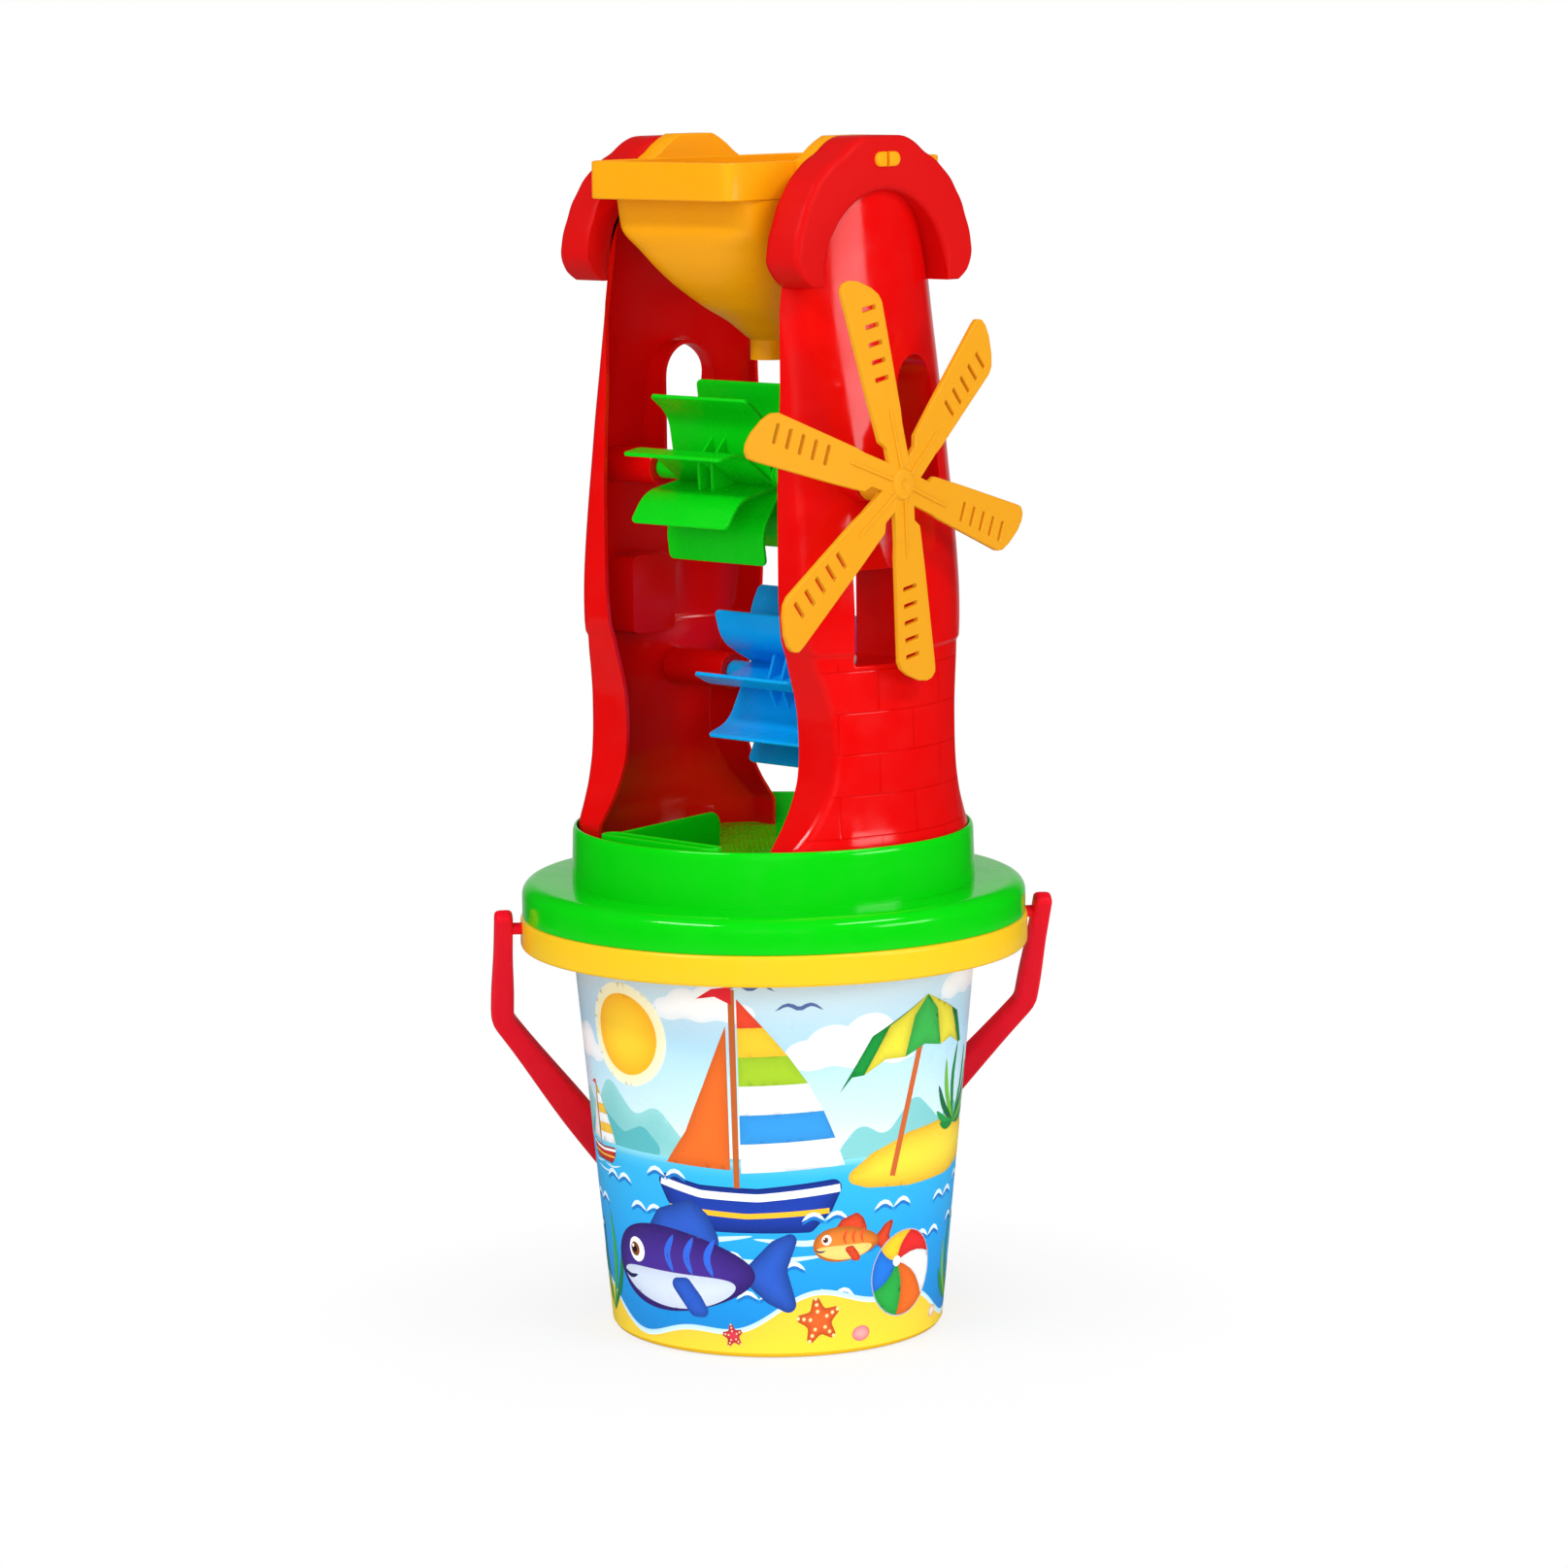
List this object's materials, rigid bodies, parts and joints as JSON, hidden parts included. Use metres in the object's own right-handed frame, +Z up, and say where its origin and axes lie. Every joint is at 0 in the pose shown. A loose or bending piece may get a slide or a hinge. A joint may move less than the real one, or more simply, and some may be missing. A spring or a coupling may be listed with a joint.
{
  "type": "sand wheel toy",
  "caption": "Beach bucket with a bail handle and a sieve lid that carries a mill tower: sand poured in the hopper turns paddle wheels and sails.",
  "frame": {"origin": "middle of the bucket's flat base", "axes": "+Z up, the sails face -Y, both wheel axles along Y"},
  "size_m": [0.2092, 0.2044, 0.478],
  "materials": {
    "bucket_yellow": "glossy moulded plastic",
    "label_print": "printed film, glossy",
    "handle_red": "satin moulded plastic",
    "lid_green": "glossy moulded plastic",
    "tower_red": "glossy moulded plastic",
    "hopper_orange": "glossy moulded plastic",
    "wheel_green": "glossy moulded plastic",
    "wheel_blue": "glossy moulded plastic",
    "sails_orange": "glossy moulded plastic"
  },
  "bodies": {
    "bucket_body": {"bucket": "bucket_yellow", "bucket_label": "label_print"},
    "handle": {"bucket_handle": "handle_red"},
    "mill": {"sieve_lid": "lid_green", "front_shell": "tower_red", "rear_shell": "tower_red", "hopper": "hopper_orange"},
    "upper_rotor": {"upper_wheel": "wheel_green", "sails": "sails_orange"},
    "lower_rotor": {"lower_wheel": "wheel_blue"}
  },
  "joints": [
    {"name": "mill_lift", "type": "slide", "parent": "bucket_body", "child": "mill", "axis": [0, 0, 1], "range_m": [0, 0.12]},
    {"name": "handle_swing", "type": "hinge", "parent": "bucket_body", "child": "handle", "pos_m": [0, 0, 0.164], "axis": [0.7771, -0.6293, 0], "range_deg": [0, 95]},
    {"name": "upper_wheel_spin", "type": "hinge", "parent": "mill", "child": "upper_rotor", "pos_m": [-0.022, 0, 0.3463], "axis": [0, 1, 0], "continuous": true},
    {"name": "lower_wheel_spin", "type": "hinge", "parent": "mill", "child": "lower_rotor", "pos_m": [0.0175, 0, 0.2603], "axis": [0, 1, 0], "continuous": true}
  ]
}
